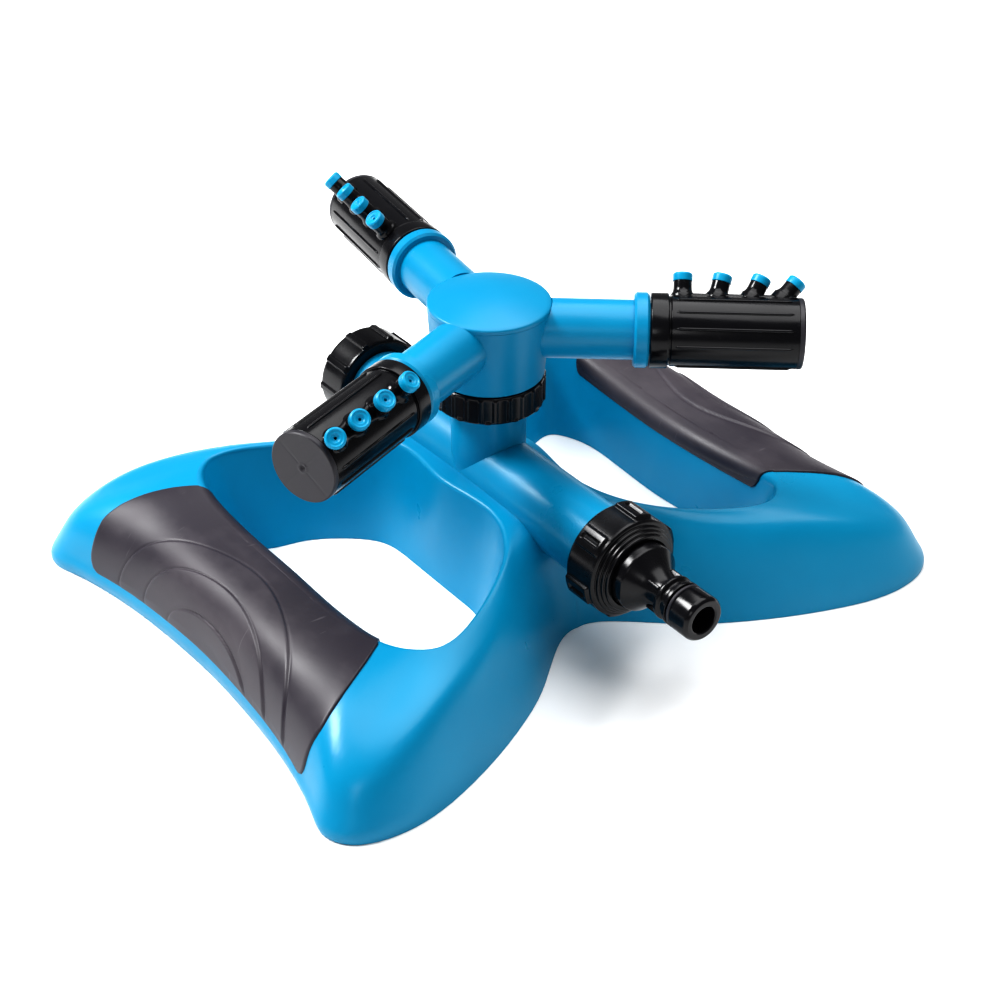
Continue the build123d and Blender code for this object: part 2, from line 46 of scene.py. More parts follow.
# ------------------------------------------------------------------ driving sizes, as in the CAD
PIPE_Z = 41.1
ARM_Z = 96.5
ARM_ANGLES = (-38.9, 81.1, 201.1)
NOZZLE_ROLL = 40.0
NOZZLES = ((65.7, 0.0), (77.7, 13.0), (89.6, 25.0), (100.3, 38.0))   # place along the arm, lean
HEAD_R = 12.2
HEAD_COLLAR_R = 12.9
HEAD_START, HEAD_COLLAR_END, HEAD_END, PLUG_END = 54.8, 60.9, 104.8, 106.8
SPIGOT_BORE, HEAD_BORE, BORE_STEP = 9.35, 9.9, 64.5
STEM_R, STEM_LENGTH, TIP_R, TIP_HEIGHT, NOZZLE_BORE = 3.3, 5.0, 3.4, 2.9, 1.1
JET_R, TIP_SEAT = 0.5, 0.9
NUT_R, NUT_BACK, NUT_FRONT = 18.0, -67.1, -80.6
CAP_FRONT, CAP_END = 68.2, 82.2
RING_NUT_R, RING_NUT_BOTTOM, RING_NUT_TOP = 19.4, 68.4, 78.9
HUB_R, HUB_RIM, DOME_TOP, CROWN_R = 21.4, 104.6, 109.4, 77.0
ADAPTER_SEAT = -77.6
THREAD_BORE = 13.4

# Guide stations round one lobe (y >= 0 half), the same as in the CAD: ground outline,
# shoulder control point, fullness, rim of the opening, rim radius, foot of the opening wall.
STATIONS = (
    ((117.0, 0.0), (117.5, 0.0, 35.0), 1.5, (81.7, 0.0, 30.5), 6.0, (77.0, 0.0)),
    ((117.9, 24.0), (118.4, 23.0, 35.0), 1.4, (82.3, 22.0, 31.0), 6.0, (78.0, 20.0)),
    ((120.8, 52.0), (121.0, 48.0, 34.3), 1.05, (82.9, 42.0, 32.6), 5.5, (78.5, 34.0)),
    ((126.2, 77.0), (126.0, 73.0, 34.0), 0.95, (82.8, 54.0, 34.0), 4.0, (77.0, 44.0)),
    ((129.6, 89.3), (125.0, 86.0, 28.0), 1.4, (80.8, 62.0, 34.8), 2.5, (73.5, 51.5)),
    ((124.5, 98.8), (120.0, 92.5, 25.5), 1.8, (77.5, 66.5, 35.0), 1.8, (69.5, 54.0)),
    ((112.0, 103.2), (109.0, 95.0, 27.0), 2.3, (73.5, 69.2, 35.0), 1.5, (65.0, 53.2)),
    ((97.0, 102.8), (94.0, 93.0, 29.5), 2.8, (69.0, 69.8, 35.0), 1.5, (60.5, 51.5)),
    ((80.0, 98.2), (77.0, 87.0, 31.5), 3.0, (63.5, 68.8, 35.2), 1.5, (56.0, 50.2)),
    ((62.0, 91.0), (60.0, 79.0, 32.6), 3.0, (56.0, 65.5, 35.5), 1.5, (51.0, 49.2)),
    ((45.0, 82.3), (46.0, 69.5, 33.5), 3.0, (47.0, 60.2, 36.0), 1.5, (44.0, 46.5)),
    ((30.0, 72.3), (35.5, 60.5, 35.0), 2.6, (37.0, 53.5, 37.2), 1.5, (35.5, 41.0)),
    ((15.0, 59.5), (24.0, 51.0, 37.5), 2.2, (28.0, 46.0, 39.2), 1.5, (28.5, 34.5)),
    ((0.0, 53.0), (6.0, 45.0, 40.0), 2.0, (22.0, 37.5, 40.8), 1.5, (25.0, 28.0)),
    ((-13.0, 57.0), (-6.0, 43.0, 42.0), 2.0, (19.3, 30.0, 41.6), 1.5, (24.0, 21.0)),
    ((-20.0, 38.0), (-14.0, 28.0, 42.5), 2.0, (18.5, 22.0, 42.0), 1.5, (24.0, 15.0)),
    ((-20.0, 12.0), (-16.0, 10.0, 42.6), 2.0, (19.8, 11.0, 42.4), 1.5, (24.0, 7.5)),
    ((-20.0, 0.0), (-16.0, 0.0, 42.6), 2.0, (21.0, 0.0, 42.5), 1.5, (24.0, 0.0)),
)
GRIP_END = ((82.0, 52.0), (87.0, 57.8), (93.4, 61.8), (101.5, 65.9), (109.8, 69.4), (117.0, 71.7),
            (124.0, 71.0))
GRIP_LOW_INSIDE = (76.0, 26.0, 31.5)      # x, height of the lower edge at the middle and the ends
GRIP_LOW_OUTSIDE = (132.0, -1.0, 1.5)

# ------------------------------------------------------------------ finer detail than the CAD has
NUT_STEP = 1.16              # depth of each of the three steps on the front of the coupling nut
RAIL_ANGLES = (-128, -98, -70, -42, 42, 70, 98, 128, 180)    # two more rails than on the CAD barrel
GRIP_PROUD = 0.75            # height of the rubber's edge above the handle
GRIP_CORNER = 0.07           # rounded corners, as a share of the grip's size
GRIP_ROWS, GRIP_COLUMNS = 330, 240
GRIP_ARCS = ((55.0, 0.89), (40.5, 0.647), (27.0, 0.30))   # half width in y, height across the skin
ARC_STEP = 0.55              # height of each half-moon terrace on the grips
ARC_GROOVE = 0.35            # depth of the groove at each terrace's edge
CORNER_STEPS = 5             # straight pieces in each rounded corner of a turned outline
NUT_COUNT = 720              # points round a ribbed nut, fine enough for crisp ribs

# ------------------------------------------------------------------ lights and viewpoint
LIGHTS = (                   # name, place in m, size in m, power in W
    ("key", (-0.75, 0.75, 1.15), (0.55, 0.45), 25),
    ("top", (0.35, 0.1, 1.5), (1.5, 1.5), 23),
    ("front", (-0.9, -0.9, 0.7), (0.35, 0.3), 1.2),
)
SURROUNDINGS = 0.22
AZIMUTH, ELEVATION, ROLL = -37.11, 33.62, 0.548
TARGET, DISTANCE = (3.4, -2.57, 25.2), 763.3
LENS, SENSOR = 76.25, 36.0


# ------------------------------------------------------------------ mesh helpers
def new_object(name, points, faces, finish):
    """A smooth mesh object from points in mm."""
    mesh = bpy.data.meshes.new(name)
    mesh.from_pydata((np.asarray(points) * MM).tolist(), [], faces)
    mesh.validate()
    obj = bpy.data.objects.new(name, mesh)
    bpy.context.scene.collection.objects.link(obj)
    tidy(obj)
    mesh.shade_smooth()
    mesh.materials.append(finish)
    return obj


def tidy(obj):
    """Weld doubles, drop collapsed faces and loose edges, and point every normal outward."""
    mesh = bmesh.new()
    mesh.from_mesh(obj.data)
    bmesh.ops.remove_doubles(mesh, verts=mesh.verts, dist=0.003 * MM)
    bmesh.ops.dissolve_degenerate(mesh, edges=mesh.edges, dist=0.001 * MM)
    loose = [edge for edge in mesh.edges if not edge.link_faces]
    bmesh.ops.delete(mesh, geom=loose, context="EDGES")
    bmesh.ops.recalc_face_normals(mesh, faces=mesh.faces)
    mesh.to_mesh(obj.data)
    mesh.free()


def sharpen(obj, angle=40.0):
    """Keep edges over this angle crisp."""
    mesh = bmesh.new()
    mesh.from_mesh(obj.data)
    limit = math.radians(angle)
    for edge in mesh.edges:
        edge.smooth = len(edge.link_faces) != 2 or edge.calc_face_angle(0.0) < limit
    mesh.to_mesh(obj.data)
    mesh.free()
    return obj


def grid_faces(rows, columns, close_columns=False):
    """Quads of a grid of points held row by row."""
    faces = []
    for i in range(rows - 1):
        low, high = i * columns, (i + 1) * columns
        for j in range(columns if close_columns else columns - 1):
            after = (j + 1) % columns
            faces.append((low + j, low + after, high + after, high + j))
    return faces


def tube_object(name, points, finish):
    """A closed solid from an array of sections, each of them a closed loop of points."""
    rows, columns = points.shape[:2]
    faces = grid_faces(rows, columns, close_columns=True)
    faces += [tuple(range(columns)), tuple(range((rows - 1) * columns, rows * columns))]
    return new_object(name, points.reshape(-1, 3), faces, finish)


def rounded(profile):
    """Round the corners of a (radius, station, rounding) line with small arcs."""
    line = []
    for k, (r, s, rounding) in enumerate(profile):
        here = np.array((r, s), float)
        if rounding <= 0 or k in (0, len(profile) - 1):
            line.append(here)
            continue
        before = np.array(profile[k - 1][:2], float) - here
        after = np.array(profile[k + 1][:2], float) - here
        reach = min(rounding, np.linalg.norm(before) * 0.49, np.linalg.norm(after) * 0.49)
        start = here + before / np.linalg.norm(before) * reach
        end = here + after / np.linalg.norm(after) * reach
        for t in np.linspace(0, 1, CORNER_STEPS + 1):
            line.append(start * (1 - t) ** 2 + here * 2 * t * (1 - t) + end * t ** 2)
    return np.array(line)


def lathe(name, profile, finish, relief=None, count=96):
    """Turn a (radius, station, rounding) outline round Z; relief(angle, r, s) adds to the radius."""
    line = rounded(profile)
    angle = np.arange(count)[None, :] * 2 * math.pi / count * np.ones((len(line), 1))
    r = line[:, :1] * np.ones((1, count))
    s = line[:, 1:] * np.ones((1, count))
    if relief:
        r = r + relief(angle, r, s)
    points = np.stack((r * np.cos(angle), r * np.sin(angle), s), axis=-1)
    faces = grid_faces(len(line), count, close_columns=True)
    return new_object(name, points.reshape(-1, 3), faces, finish)


def move(obj, matrix):
    """Transform the mesh itself."""
    obj.data.transform(matrix)
    return obj


def shift(x, y, z):
    """A move in mm."""
    return Matrix.Translation((x * MM, y * MM, z * MM))


def turn(degrees, axis):
    """A turn about X, Y or Z."""
    return Matrix.Rotation(math.radians(degrees), 4, axis)


LAY_ON_PIPE = shift(0, 0, PIPE_Z) @ turn(-90, "X")      # Z becomes +Y, on the pipe's axis
LAY_ON_X = turn(90, "Y")


def arm_matrix(angle):
    """Frame of the arm at this angle; pieces are built on +X with the nozzles up."""
    return shift(0, 0, ARM_Z) @ turn(angle, "Z") @ turn(-NOZZLE_ROLL, "X")


def join(name, objects):
    """Join objects into the first one."""
    with bpy.context.temp_override(active_object=objects[0], selected_editable_objects=objects):
        bpy.ops.object.join()
    objects[0].name = name
    return objects[0]


# ------------------------------------------------------------------ materials
class Finish:
    """A node material under construction."""

    def __init__(self, name, specular=0.5):
        self.material = bpy.data.materials.new(name)
        self.material.use_nodes = True
        self.nodes = self.material.node_tree.nodes
        self.links = self.material.node_tree.links
        self.shader = self.nodes["Principled BSDF"]
        self.shader.inputs["Specular IOR Level"].default_value = specular

    def noise(self, scale, detail=3.0, stretch=(1.0, 1.0, 1.0), roughness=0.5):
        """Noise in object space, stretched if asked."""
        coords = self.nodes.new("ShaderNodeTexCoord")
        mapping = self.nodes.new("ShaderNodeMapping")
        mapping.inputs["Scale"].default_value = stretch
        self.links.new(coords.outputs["Object"], mapping.inputs["Vector"])
        texture = self.nodes.new("ShaderNodeTexNoise")
        texture.inputs["Scale"].default_value = scale
        texture.inputs["Detail"].default_value = detail
        texture.inputs["Roughness"].default_value = roughness
        self.links.new(mapping.outputs["Vector"], texture.inputs["Vector"])
        return texture.outputs["Fac"]

    def ramp(self, source, low, high, start=0.0, end=1.0):
        """Map a value to a range, clamped."""
        node = self.nodes.new("ShaderNodeMapRange")
        for key, value in (("From Min", low), ("From Max", high), ("To Min", start), ("To Max", end)):
            node.inputs[key].default_value = value
        self.links.new(source, node.inputs["Value"])
        return node.outputs["Result"]

    def scratches(self, stretch, cut):
        """Thin sparse lines from a strongly stretched noise."""
        return self.ramp(self.noise(60, 2.0, stretch), cut, cut + 0.04)

    def blend(self, factor, first, second):
        """A colour between two; the first may be another blend."""
        mix = self.nodes.new("ShaderNodeMix")
        mix.data_type = "RGBA"
        mix.inputs[7].default_value = (*second, 1)
        if isinstance(first, tuple):
            mix.inputs[6].default_value = (*first, 1)
        else:
            self.links.new(first, mix.inputs[6])
        self.links.new(factor, mix.inputs[0])
        return mix.outputs[2]

    def colour(self, source):
        """Feed the base colour."""
        self.links.new(source, self.shader.inputs["Base Color"])

    def roughness(self, source):
        """Feed the roughness."""
        self.links.new(source, self.shader.inputs["Roughness"])

    def bump(self, *layers):
        """Chain bump layers of (height, strength, distance in mm)."""
        normal = None
        for height, strength, distance in layers:
            node = self.nodes.new("ShaderNodeBump")
            node.inputs["Strength"].default_value = strength
            node.inputs["Distance"].default_value = distance * MM
            self.links.new(height, node.inputs["Height"])
            if normal:
                self.links.new(normal, node.inputs["Normal"])
            normal = node.outputs["Normal"]
        self.links.new(normal, self.shader.inputs["Normal"])


def blue_plastic(name, tone, deep):
    """Semi-gloss sky blue moulding: faint flow clouding, fine orange peel and hairline scuffs."""
    made = Finish(name, 0.32)
    scuff = made.scratches((1.0, 14.0, 3.0), 0.76)
    cloud = made.blend(made.ramp(made.noise(14, 4.0), 0.35, 0.7), deep, tone)
    made.colour(made.blend(made.ramp(scuff, 0, 1, 0, 0.15), cloud, (0.03, 0.31, 0.48)))
    made.roughness(made.ramp(made.noise(45, 5.0), 0.3, 0.75, 0.27, 0.40))
    made.bump((made.noise(900, 2.0), 0.05, 0.05), (made.noise(130, 2.0), 0.05, 0.25), (scuff, 0.03, 0.01))
    return made.material


def black_plastic(name, tone, gloss):
    """Glossy black moulding with dust in the grain, swirl marks and faint sink marks."""
    made = Finish(name, 0.3)
    dust = made.ramp(made.noise(320, 6.0, roughness=0.7), 0.62, 0.78, 0, 0.2)
    made.colour(made.blend(dust, tone, (0.05, 0.05, 0.055)))
    made.roughness(made.ramp(made.noise(60, 4.0), 0.3, 0.7, *gloss))
    scuff = made.scratches((5.0, 1.0, 12.0), 0.7)
    made.bump((made.noise(90, 2.0), 0.06, 0.3), (made.noise(1100, 1.0), 0.04, 0.03), (scuff, 0.1, 0.03))
    return made.material


def grip_rubber():
    """Satin dark rubber with a fine grain, dusty smears and small scuffs."""
    made = Finish("grip_rubber")
    smear = made.ramp(made.noise(22, 5.0, (1.0, 0.6, 1.0), 0.65), 0.48, 0.72)
    speck = made.ramp(made.noise(700, 4.0, roughness=0.8), 0.70, 0.80)
    scuff = made.scratches((1.0, 9.0, 1.0), 0.71)
    base = made.blend(made.ramp(smear, 0, 1, 0, 0.55), (0.024, 0.020, 0.029), (0.075, 0.064, 0.075))
    base = made.blend(made.ramp(speck, 0, 1, 0, 0.4), base, (0.15, 0.14, 0.145))
    made.colour(made.blend(made.ramp(scuff, 0, 1, 0, 0.35), base, (0.13, 0.12, 0.13)))
    made.roughness(made.ramp(smear, 0, 1, 0.42, 0.58))
    made.bump((made.noise(1500, 3.0), 0.18, 0.06), (made.noise(120, 3.0), 0.12, 0.2), (scuff, 0.15, 0.04))
    return made.material


def dull_black():
    """Matte end plugs and seals: fine spark-eroded grain with greyish bloom."""
    made = Finish("dull_black")
    bloom = made.ramp(made.noise(55, 5.0), 0.35, 0.75)
    made.colour(made.blend(bloom, (0.013, 0.012, 0.017), (0.030, 0.028, 0.036)))
    made.roughness(made.ramp(bloom, 0, 1, 0.42, 0.6))
    made.bump((made.noise(1300, 3.0), 0.2, 0.05), (made.noise(200, 2.0), 0.08, 0.1))
    return made.material


def pale_plastic():
    """Natural off-white moulding of the inner slide parts and the strainer."""
    made = Finish("pale_plastic")
    cloud = made.ramp(made.noise(80, 3.0), 0.3, 0.7)
    made.colour(made.blend(cloud, (0.68, 0.67, 0.62), (0.76, 0.75, 0.70)))
    made.roughness(made.ramp(cloud, 0, 1, 0.35, 0.5))
    made.bump((made.noise(900, 2.0), 0.1, 0.04))
    return made.material


def zinc_steel():
    """Zinc plated screws with a drawn grain."""
    made = Finish("zinc_steel")
    grain = made.noise(300, 3.0, (1.0, 1.0, 9.0))
    made.colour(made.blend(grain, (0.42, 0.42, 0.40), (0.62, 0.62, 0.60)))
    made.shader.inputs["Metallic"].default_value = 1.0
    made.roughness(made.ramp(grain, 0.3, 0.7, 0.3, 0.45))
    made.bump((grain, 0.1, 0.03))
    return made.material


BLUE = blue_plastic("blue_plastic", (0.0, 0.250, 0.435), (0.0, 0.215, 0.385))
BLUE_TIP = blue_plastic("blue_tip_plastic", (0.0, 0.30, 0.50), (0.0, 0.26, 0.45))
BLACK = black_plastic("black_plastic", (0.005, 0.005, 0.0065), (0.15, 0.30))
BLACK_HEAD = black_plastic("black_head_plastic", (0.0045, 0.0045, 0.006), (0.14, 0.26))
RUBBER = grip_rubber()
DULL = dull_black()
PALE = pale_plastic()
ZINC = zinc_steel()


# ------------------------------------------------------------------ lobe surface under the grips
def closed_spline(points):
    """A periodic cubic through the points, one unit of u per point."""
    points = np.array(points, float)
    count = len(points)
    bands = 4 * np.eye(count) + np.roll(np.eye(count), 1, axis=0) + np.roll(np.eye(count), -1, axis=0)
    change = np.roll(points, -1, axis=0) - 2 * points + np.roll(points, 1, axis=0)
    second = np.linalg.solve(bands, 6 * change)

    def at(u):
        u = np.asarray(u, float) % count
        k = np.floor(u).astype(int) % count
        n = (k + 1) % count
        s = (u - np.floor(u))[..., None]
        ease = ((1 - s) ** 3 - (1 - s)) * second[k] / 6 + (s ** 3 - s) * second[n] / 6
        return points[k] * (1 - s) + points[n] * s + ease

    return at


def all_round(rows, flips=(1, -1, 1)):
    """The half list and its mirror in y."""
    rows = [list(row) for row in rows]
    return rows + [[c * f for c, f in zip(row, flips)] for row in rows[-2:0:-1]]


GROUND = closed_spline(all_round([(*s[0], 0.0) for s in STATIONS]))
SHOULDER = closed_spline(all_round([s[1] for s in STATIONS]))
RIM = closed_spline(all_round([s[3] for s in STATIONS]))
FOOT = closed_spline(all_round([(*s[5], 0.0) for s in STATIONS]))
SHAPE = closed_spline(all_round([(s[2], s[4]) for s in STATIONS], (1, 1)))
UP = np.array((0.0, 0.0, 1.0))


def outward(u):
    """Unit direction in plan from the rim to the outline."""
    away = GROUND(u) - RIM(u)
    away[..., 2] = 0
    return away / np.linalg.norm(away, axis=-1, keepdims=True)


def skin(u, v):
    """Top skin of the lobe: v runs from 0 at the rim's rounding to 1 at the ground."""
    fullness, radius = SHAPE(u)[..., :1], SHAPE(u)[..., 1:]
    start = RIM(u) + outward(u) * radius
    v = v[..., None]
    a, b, c = (1 - v) ** 2, 2 * v * (1 - v) * fullness, v ** 2
    return (start * a + SHOULDER(u) * b + GROUND(u) * c) / (a + b + c)


def rounding(u, t):
    """Rounded rim: t runs from 0 at the top skin to 1 at the opening's wall."""
    radius = SHAPE(u)[..., 1:]
    angle = t[..., None] * math.pi / 2
    return RIM(u) + outward(u) * radius * (1 - np.sin(angle)) - UP * radius * (1 - np.cos(angle))


def wall(u, t):
    """Opening's wall: t runs from 0 at the rounding to 1 at the ground."""
    return rounding(u, np.ones(np.shape(u))) * (1 - t[..., None]) + FOOT(u) * t[..., None]


def across(u, w):
    """The whole section: w is 0 at the wall's foot, 1 and 2 at the rounding's ends, 3 on the ground."""
    low, mid, high = np.clip(1 - w, 0, 1), np.clip(2 - w, 0, 1), np.clip(w - 2, 0, 1)
    points = np.where((w < 1)[..., None], wall(u, low), rounding(u, mid))
    return np.where((w > 2)[..., None], skin(u, high), points)


# ------------------------------------------------------------------ grips
def end_line(x):
    """Half length of the grip at this x."""
    return np.interp(x, [p[0] for p in GRIP_END], [p[1] for p in GRIP_END])


def grip_floor(point):
    """Height of the grip's lower edges at this plan position."""
    reach = GRIP_LOW_OUTSIDE[0] - GRIP_LOW_INSIDE[0]
    share = np.clip((point[..., 0] - GRIP_LOW_INSIDE[0]) / reach, 0, 1)
    bend = (point[..., 1] / 75.0) ** 2
    inside = GRIP_LOW_INSIDE[1] + (GRIP_LOW_INSIDE[2] - GRIP_LOW_INSIDE[1]) * bend
    outside = GRIP_LOW_OUTSIDE[1] + (GRIP_LOW_OUTSIDE[2] - GRIP_LOW_OUTSIDE[1]) * bend
    return inside * (1 - share) + outside * share


def bisect(test, low, high):
    """Where test falls through zero between low and high, element by element."""
    for _ in range(16):
        middle = (low + high) / 2
        keep = test(middle) > 0
        low, high = np.where(keep, middle, low), np.where(keep, high, middle)
    return (low + high) / 2


def grip_points(along, over):
    """Surface parameters (u, w) of a grid that fills the grip's outline, its corners rounded."""
    a, b = np.meshgrid(along, over, indexing="ij")
    near_corner = np.clip(1 - np.minimum(b, 1 - b) / GRIP_CORNER, 0, 1)
    a = a * (1 - GRIP_CORNER * 1.1 * (1 - np.sqrt(1 - near_corner ** 2)))
    u = a * 2.6
    one = np.ones_like(u)
    for _ in range(4):
        first = bisect(lambda t: grip_floor(across(u, t)) - across(u, t)[..., 2], 0 * one, one)
        last = bisect(lambda t: across(u, t)[..., 2] - grip_floor(across(u, t)), 2.2 * one, 2.999 * one)
        w = first + (last - first) * b
        reach = bisect(lambda t: end_line(across(t, w)[..., 0]) - across(t, w)[..., 1], 0 * one, 4.6 * one)
        u = a * reach
    return u, w


def finer(values, rows, columns):
    """Linear resampling of a coarse grid, one direction after the other."""
    tall = np.linspace(0, values.shape[0] - 1, rows)
    wide = np.linspace(0, values.shape[1] - 1, columns)
    values = np.array([np.interp(tall, np.arange(values.shape[0]), column) for column in values.T]).T
    return np.array([np.interp(wide, np.arange(values.shape[1]), row) for row in values])


def grip_relief(u, w):
    """Height of the moulded pattern: three half-moon terraces, each with a fine groove at its edge."""
    y = across(u, w)[..., 1]
    v = np.clip(w - 2, 0, 1)
    relief = np.zeros_like(y)
    for half_width, height in GRIP_ARCS:
        radius = np.sqrt((y / half_width) ** 2 + ((1 - v) / height) ** 2)
        distance = (1 - radius) * half_width * 0.8
        step = 1 / (1 + np.exp(-distance / 0.16))
        groove = np.exp(-((distance + 0.25) / 0.32) ** 2)
        fade = np.clip(1 - distance / 11.0, 0, 1)
        relief += ARC_STEP * step * fade - ARC_GROOVE * groove
    return relief


def grip_surface():
    """Points of the right grip: its face in fine steps and its underside, pushed off the skin."""
    rows, columns = GRIP_ROWS, GRIP_COLUMNS
    ease = np.linspace(-1, 1, 67)
    along = ease * (1.12 - 0.12 * ease ** 2)
    u, w = grip_points(along, np.linspace(0, 1, 49))
    u, w = finer(u, rows, columns), finer(w, rows, columns)
    surface = across(u, w)
    normal = np.cross(np.gradient(surface, axis=0), np.gradient(surface, axis=1))
    normal /= np.linalg.norm(normal, axis=-1, keepdims=True)
    normal *= np.sign(normal[rows // 2, columns // 2, 2])
    to_end = (1 - np.abs(finer(along[:, None] * np.ones(2), rows, columns))) * 62
    share = np.linspace(0, 1, columns)[None, :]
    edge = np.minimum(to_end, np.minimum(share, 1 - share) * 78)
    bulge = np.sqrt(np.clip(1 - (1 - np.clip(edge / 1.3, 0, 1)) ** 2, 0, 1))
    lift = GRIP_PROUD * bulge + grip_relief(u, w) * np.clip(edge / 2.0 - 0.3, 0, 1)
    return surface + normal * (lift - 0.05)[..., None], surface - normal * 0.6


def rim_of_grid(rows, columns):
    """Indices of a grid's border, in order."""
    low = list(range(columns))
    right = [i * columns + columns - 1 for i in range(1, rows)]
    top = [(rows - 1) * columns + j for j in range(columns - 2, -1, -1)]
    return low + right + top + [i * columns for i in range(rows - 2, 0, -1)]


def grip(name, side, surfaces):
    """Rubber skin over a handle."""
    rows, columns = surfaces[0].shape[:2]
    size = rows * columns
    points = np.concatenate([surface.reshape(-1, 3) for surface in surfaces]) * (side, 1, 1)
    faces = grid_faces(rows, columns)
    faces += [tuple(size + i for i in reversed(face)) for face in faces]
    border = rim_of_grid(rows, columns)
    faces += [(a, b, size + b, size + a) for a, b in zip(border, border[1:] + border[:1])]
    return new_object(name, points, faces, RUBBER)


# ------------------------------------------------------------------ nuts and hose connector
def bars(count, height, width, start, end, ease=0.6, offset=0.0):
    """Relief of raised longitudinal bars of this width, between two stations."""
    def relief(angle, r, s):
        pitch = 2 * math.pi / count
        from_bar = (angle + math.radians(offset) + pitch / 2) % pitch - pitch / 2
        side = np.clip((width / 2 + ease / 2 - np.abs(from_bar) * r) / ease, 0, 1)
        length = np.clip(np.minimum(s - start, end - s) / ease + 0.5, 0, 1)
        return height * (side ** 2 * (3 - 2 * side)) * (length ** 2 * (3 - 2 * length)) * (r > NUT_R - 1.5)
    return relief


def straight(radius, start, end, count):
    """Closely spaced points along a cylinder, for relief to act on."""
    return [(radius, s, 0) for s in np.linspace(start, end, count)]


def inlet_nut():
    """Coupling nut: six lugs with a slot in each, and a stepped front."""
    f, b = NUT_FRONT, NUT_BACK
    outline = [(THREAD_BORE, b, 0), (NUT_R - 0.6, b, 0), (NUT_R, b - 0.9, 0)]
    outline += straight(NUT_R, b - 1.2, f + 1.2, 30)
    outline += [(NUT_R - 0.1, f + 0.5, 0), (NUT_R - 0.9, f, 0.5)]
    for k, r in enumerate((16.2, 15.2, 14.2)):
        outline += [(r, f - NUT_STEP * k, 0.3), (r, f - NUT_STEP * (k + 1), 0.5)]
    outline += [(12.35, f - 3 * NUT_STEP, 0.3), (12.35, f + 0.3, 0)]
    outline += [(THREAD_BORE, f + 0.3, 0), (THREAD_BORE, b, 0)]
    lugs = bars(6, 1.3, 7.0, f + 1.6, b - 1.2, 0.9, 15)
    slots = bars(6, -0.9, 2.0, f + 3.2, b - 3.0, 0.6, 15)
    relief = lambda a, r, s: lugs(a, r, s) + slots(a, r, s)
    nut = lathe("inlet_coupling_nut", outline, BLACK, relief, NUT_COUNT)
    return sharpen(move(nut, LAY_ON_PIPE))


def end_cap():
    """Flush cap with ten ribs and a shallow dished face."""
    f, e = CAP_FRONT, CAP_END
    outline = [(THREAD_BORE, f, 0), (NUT_R - 0.9, f, 0.4), (NUT_R - 0.1, f + 0.5, 0)]
    outline += straight(NUT_R, f + 1.0, e - 1.4, 24)
    outline += [(NUT_R - 0.15, e - 0.8, 0), (NUT_R - 0.9, e - 0.1, 0.4)]
    outline += [(12.5, e, 0.2), (12.0, e - 0.5, 0.3), (0, e - 0.5, 0), (0, e - 2.2, 0)]
    outline += [(THREAD_BORE, e - 2.2, 0), (THREAD_BORE, f, 0)]
    cap = lathe("flush_cap", outline, BLACK, bars(10, 0.9, 2.6, f + 0.8, e - 0.9, 0.7), NUT_COUNT)
    return sharpen(move(cap, LAY_ON_PIPE))


def ring_nut():
    """Nut under the rotor with 24 fine ribs and small pads along its lower edge."""
    b, t = RING_NUT_BOTTOM, RING_NUT_TOP
    outline = [(THREAD_BORE, b, 0), (RING_NUT_R - 0.8, b, 0.4), (RING_NUT_R - 0.1, b + 0.4, 0)]
    outline += straight(RING_NUT_R, b + 0.7, t - 0.7, 22)
    outline += [(RING_NUT_R - 0.15, t - 0.35, 0), (RING_NUT_R - 0.7, t, 0.3)]
    outline += [(10.3, t, 0), (10.3, t - 1.8, 0), (THREAD_BORE, t - 1.8, 0), (THREAD_BORE, b, 0)]
    fine = bars(24, 0.5, 1.5, b + 0.9, t - 0.8)
    pads = bars(12, 0.35, 1.8, b - 1.0, b + 1.3, offset=7.5)
    nut = lathe("rotor_ring_nut", outline, BLACK, lambda a, r, s: fine(a, r, s) + pads(a, r, s), NUT_COUNT)
    return sharpen(nut)


def waist_fin(angle):
    """One short fin on the connector's waist, a rounded block."""
    bpy.ops.mesh.primitive_cube_add(size=MM)
    shape = Matrix.Diagonal((2.6, 1.2, 5.4, 1.0))
    fin = move(bpy.context.object, turn(angle, "Z") @ shift(6.3, 0, -96.6) @ shape)
    mesh = bmesh.new()
    mesh.from_mesh(fin.data)
    bmesh.ops.bevel(mesh, geom=mesh.edges, offset=0.35 * MM, segments=3, affect="EDGES", profile=0.6)
    mesh.to_mesh(fin.data)
    mesh.free()
    fin.data.shade_smooth()
    fin.data.materials.append(BLACK)
    return fin


def hose_adapter():
    """Quick-connect nose: collar, tapered waist with four fins, three ridges and the nose itself."""
    seat = ADAPTER_SEAT
    outline = [(9.2, seat, 0), (13.0, seat, 0), (13.0, -79.7, 0), (12.0, -79.7, 0), (12.0, -87.2, 0)]
    outline += [(11.9, -88.0, 0.4), (11.2, -88.7, 0.8), (9.6, -90.4, 2.0), (7.6, -92.8, 2.0)]
    outline += [(6.5, -95.0, 1.6), (6.1, -97.0, 1.6), (6.1, -98.9, 0.5), (7.6, -99.5, 0.5)]
    outline += [(8.0, -100.2, 0.4), (8.0, -101.2, 0.4), (6.8, -101.9, 0.4), (6.8, -103.3, 0.4)]
    outline += [(8.0, -103.9, 0.4), (8.0, -105.4, 0.3), (6.5, -105.6, 0.15), (6.5, -107.6, 0.15)]
    outline += [(8.0, -107.8, 0.25), (8.0, -114.9, 0.9), (7.1, -116.0, 0.3), (5.2, -116.0, 0.3)]
    outline += [(4.8, -115.6, 0), (4.8, -92.0, 0), (9.2, -82.0, 0), (9.2, seat, 0)]
    body = lathe("hose_connector", outline, BLACK, count=128)
    adapter = join("hose_connector", [body] + [waist_fin(45 + 90 * k) for k in range(4)])
    return sharpen(move(adapter, LAY_ON_PIPE))


